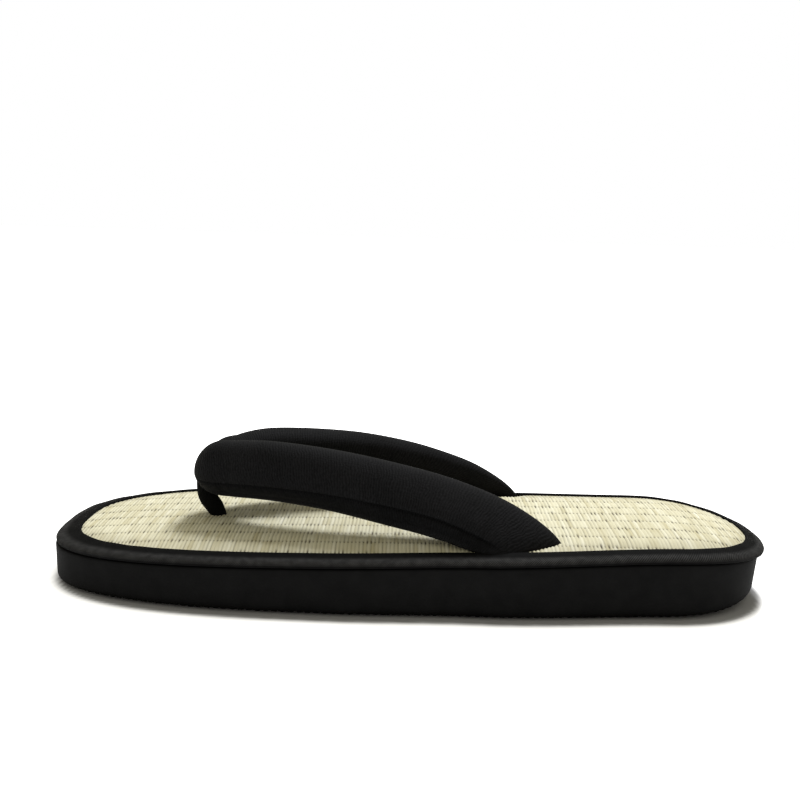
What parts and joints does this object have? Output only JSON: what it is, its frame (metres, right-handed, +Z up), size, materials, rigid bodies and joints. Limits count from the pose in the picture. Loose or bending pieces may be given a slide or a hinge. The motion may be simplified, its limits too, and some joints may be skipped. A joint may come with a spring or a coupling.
{
  "type": "thong slipper",
  "caption": "Open thong slipper with a woven rush footbed bound in dark tape on a foam wedge sole, and a padded V strap held by a toe post and side slits.",
  "frame": {"origin": "on the floor, under the middle of the slipper's length and width", "axes": "+X from toe to heel, +Y towards the inner side of the foot, +Z up"},
  "size_m": [0.264, 0.1035, 0.0522],
  "materials": {
    "foam": "matte moulded foam",
    "tape": "smooth woven tape, slight sheen",
    "rush": "woven rush stalks, satin",
    "strap_cloth": "fine ribbed matte cloth",
    "post_cloth": "matte cloth"
  },
  "bodies": {
    "root": {"outsole": "foam", "edge_tape": "tape", "tatami_insole": "rush", "strap": "strap_cloth", "toe_post": "post_cloth"}
  },
  "joints": []
}
